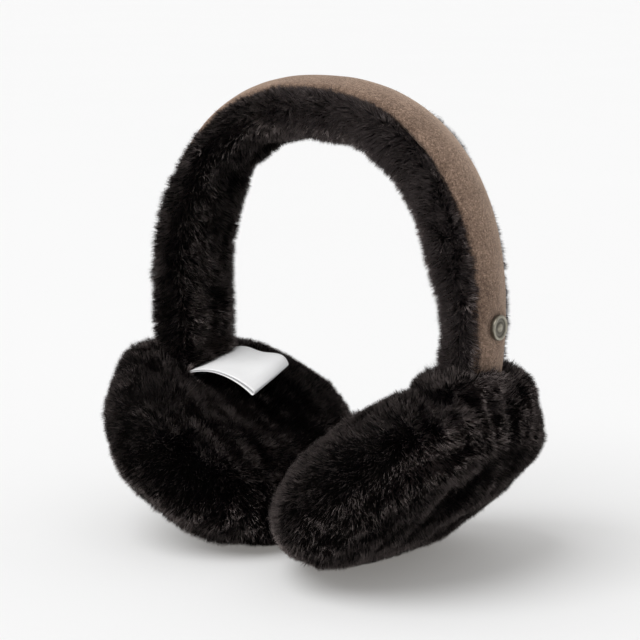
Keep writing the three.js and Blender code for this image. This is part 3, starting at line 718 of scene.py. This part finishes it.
def make_stage():
    corners = [(x * FLOOR_REACH, y * FLOOR_REACH, 0) for x, y in ((-1, -1), (1, -1), (1, 1), (-1, 1))]
    floor = mesh_object("floor", np.array(corners), [[0, 1, 2, 3]], floor_material())
    world = bpy.data.worlds.new("studio")
    bpy.context.scene.world = world
    world.use_nodes = True
    background = world.node_tree.nodes["Background"]
    background.inputs["Color"].default_value = (1, 1, 1, 1)
    background.inputs["Strength"].default_value = WORLD_LIGHT
    for row in SUNS:
        make_sun(*row)
    bpy.context.scene.view_settings.view_transform = "Standard"


# How the fur lies, where it is fuller, and where painted highlights and painted shade go

UP = np.array([0, 0, 1.0])


def bumps(points, places):
    """The sum of some soft bumps at points, each bump given by its middle and reach in mm and its amount."""
    return sum(amount * np.exp(-(((points / MM - middle) ** 2).sum(axis=1)) / reach**2)
               for middle, reach, amount in places)


def below(points, height, over):
    """Grows from 0 at the height to 1 a given distance under it."""
    return np.clip((height - points[:, 2]) / over, 0, 1)


# The pads

FULLER_RIGHT = (  # middle, reach and fur to add, all in millimetres
    ((83, 27, 84), 14, 4.6), ((90, 29, 67), 9, -2.0), ((90, 24, 48), 14, 1.8), ((72, 5, 21), 16, -1.6),
    ((24, -45, 6), 14, -3.4), ((40, -28, 4), 15, -3.6), ((50, -8, 6), 14, -3.2), ((34, -11, 69), 16, 3.4),
)
FULLER_LEFT = (
    ((-83, -14, 78), 14, 4.4), ((-28, 27, 71), 18, 3.0), ((-12, 33, 54), 16, 3.4), ((-68, -19, 7), 26, -1.8),
)
# Painted highlights on the right pad's left rim and low front, painted shade on its top.
PAINTED_LIGHT_RIGHT = (  # middle and reach in millimetres, then the painted light to add: painted highlight above nought, painted shade below
    ((18, -30, 46), 18, 0.9), ((54, -35, 20), 22, 0.4), ((66, -10, 75), 22, -0.3),
)
# Painted highlights on the left pad, strongest on its left flank where light from the left falls.
PAINTED_LIGHT_LEFT = (
    ((-86, -24, 39), 20, 2.6), ((-47, -10, 59), 8, 0.3), ((-63, -14, 12), 15, 0.25), ((-14, 0, 48), 9, 0.15),
)
LOW_OUTER_WAY, LOW_OUTER_FROM, LOW_OUTER_OVER = np.array([0.55, 0.42, -0.72]), 0.5, 0.4
LOW_OUTER_FILL = 1.6 * MM

COLLAR_OUT, COLLAR_REACH, COLLAR_RISE = 1.1, 0.24, 2.2  # out and reach are in halves of the arm
CREASE_OUT, CREASE_REACH, CREASE_DEPTH = 1.8, 0.22, 0.22
COLLAR_DROP, NOT_BY_ARM = 26 * MM, 9  # lower points count as this much further out
OUTWARD, DOWNWARD = 0.6, 0.5


def fuller_right(points, normals):
    """More fur low on the outer side, and what the table says."""
    outer = np.clip((normals @ LOW_OUTER_WAY - LOW_OUTER_FROM) / LOW_OUTER_OVER, 0, 1)
    return LOW_OUTER_FILL * outer + MM * bumps(points, FULLER_RIGHT)


def fuller_left(points, normals):
    return MM * bumps(points, FULLER_LEFT)


# Painted highlights and painted shade for the right pad's strands.
def painted_light_right(points):
    return bumps(points, PAINTED_LIGHT_RIGHT)


# Painted highlights for the left pad's strands.
def painted_light_left(points):
    return bumps(points, PAINTED_LIGHT_LEFT)


def by_arm(points, side, pad_top):
    """How far out points are from the arm's axis, in halves of its depth and width. Large low on the pad."""
    drop = RIGHT_DROP if side > 0 else LEFT_DROP
    face = band_face(-band_angle(drop) if side > 0 else math.pi + band_angle(drop))
    arm = np.array(in_band(face, 0, ARM_DEPTH / 2))
    off = (points - arm) / (ARM_DEPTH / 2, ARM_WIDTH / 2, 1)
    return np.hypot(off[:, 0], off[:, 1]) + NOT_BY_ARM * (points[:, 2] < pad_top - COLLAR_DROP)


def comb_pad(middle, side, pad_top, collar_length):
    """Fur lies away from the pad's middle and down, and stands up in a collar round the arm."""
    def comb(points):
        away = unit(points - np.array(middle) * MM)
        out = by_arm(points, side, pad_top)
        collar = np.exp(-(np.maximum(0, out - COLLAR_OUT) / COLLAR_REACH) ** 2)
        crease = np.exp(-((out - CREASE_OUT) / CREASE_REACH) ** 2)
        way = away * OUTWARD - DOWNWARD * UP + collar[:, None] * (COLLAR_RISE * UP)
        return way, STRAND_LENGTH * (1 + collar_length * collar - CREASE_DEPTH * crease)
    return comb


PADS = (  # name, side, middle in millimetres, how much longer the collar's fur is, more fur, painted highlights and painted shade
    ("right", 1, (51.9, -4.9, 44), 2.6, fuller_right, painted_light_right),
    ("left", -1, (-45.9, 5.1, 38), 0.5, fuller_left, painted_light_left),
)


def make_pads(pile, under):
    for name, side, middle, collar_length, fuller, painted_light in PADS:
        panels = [f"pad_{name}_inner", f"pad_{name}_outer"]
        skin, room = soft_skin(f"pad_{name}_skin", panels, under, fuller)
        comb = comb_pad(middle, side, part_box(panels[0])[1].z, collar_length)
        grow(f"pad_{name}", skin, room, comb, painted_light, pile)


# The band's fur

BAND_COMB_POINTS = 400
LEFT_REACH = 30 * MM
# Painted highlights: on the right arm, where light from the left falls, and on the crown, where light from
# above catches it.
PAINTED_LIGHT_ARM, PAINTED_LIGHT_CROWN = 1.6, 0.2
CROWN_HEIGHT, CROWN_BLEND = 160 * MM, 20 * MM
LEFT_ARM_FILL, LEFT_ARM_TOP, LEFT_ARM_BLEND = 1.8, 175 * MM, 35 * MM
RIGHT_ARM_FILLS = ((140, 22, 2.2), (104, 15, -1.7))  # height, reach and fur to add, all in millimetres
INNER_DEPTH, INNER_BLEND = 9 * MM, 6 * MM
OUTER_DEPTH, OUTER_BLEND = 13 * MM, 9 * MM
LOW_ARM_RISE, LOW_ARM_BLEND = 55 * MM, 50 * MM
PAST_EDGE, FRONT_PAST_EDGE, BACK_PAST_EDGE = 0.1, 1.8, 0.1  # how the fur leans out past the suede's edges
INWARD, SIDEWAYS, BAND_DOWNWARD = 0.35, 0.15, 0.3
LEFT_LONGER, LEFT_LONGER_TOP, LEFT_LONGER_BLEND = 0.35, 150 * MM, 40 * MM
FRONT_LONGER = 0.7


def along_band(points):
    """For points by the headband: the way out of its curve, and the depth under the suede's face."""
    faces = even_faces(BAND_COMB_POINTS)
    line = [(p.x, 0, p.y) for p, _ in faces]
    at = nearest(points * [1, 0, 1], line)
    out = np.array([(o.x, 0, o.y) for _, o in faces])[at]
    return out, -((points * [1, 0, 1] - np.array(line)[at]) * out).sum(axis=1)


def on_left(points):
    return np.clip((BAND_MIDDLE.x - points[:, 0]) / LEFT_REACH, 0, 1)


def fuller_band(points, normals):
    """The fur of the left arm stands out more towards its pad, and that of the right arm half-way down."""
    height = points[:, 2] / MM
    right = sum(fill * np.exp(-(((height - middle) / reach) ** 2)) for middle, reach, fill in RIGHT_ARM_FILLS)
    inner = np.clip((along_band(points)[1] - INNER_DEPTH) / INNER_BLEND, 0, 1)
    left = on_left(points)
    left_fill = LEFT_ARM_FILL * left * below(points, LEFT_ARM_TOP, LEFT_ARM_BLEND)
    return MM * (left_fill + right * inner * (1 - left))


def painted_light_band(points):
    """Painted highlight: the fur of the right arm, where light from the left falls, and of the crown, where
    light from above catches it, is given a paler tone.
    """
    crown = np.clip((points[:, 2] - CROWN_HEIGHT) / CROWN_BLEND, 0, 1)
    return PAINTED_LIGHT_ARM * (1 - on_left(points)) + PAINTED_LIGHT_CROWN * crown


def comb_band(points):
    """Fur lies in towards the head, and low on the right arm it rises past the suede's edge."""
    out, deep = along_band(points)
    left = on_left(points)
    outer = np.clip((OUTER_DEPTH - deep) / OUTER_BLEND, 0, 1)
    low_right = (1 - left) * below(points, WIDEST_HEIGHT + LOW_ARM_RISE, LOW_ARM_BLEND)
    sideways = np.sign(points[:, 1] - BAND_MIDDLE.y)
    in_front = sideways < 0
    past_low = np.where(in_front, FRONT_PAST_EDGE, BACK_PAST_EDGE) * low_right
    past = outer * (PAST_EDGE + past_low) - (1 - outer) * INWARD
    drift = np.stack([np.zeros(len(out)), sideways * SIDEWAYS, np.full(len(out), -BAND_DOWNWARD)], axis=1)
    longer = (LEFT_LONGER * left * below(points, LEFT_LONGER_TOP, LEFT_LONGER_BLEND)
              + np.where(in_front, FRONT_LONGER, 0.0) * outer * low_right)
    return out * past[:, None] + drift, BAND_STRAND_LENGTH * (1 + longer)


def make_band_fur(pile, under):
    skin, room = soft_skin("band_skin", ["band_fur"], under, fuller_band)
    grow("band", skin, room, comb_band, painted_light_band, pile)


# Making it all

make_camera()
make_stage()
pile, under = pile_material(), skin_material()
make_pads(pile, under)
make_band_fur(pile, under)
make_suede(suede_material())
make_label(cloth_material())
make_stud(pewter_material())
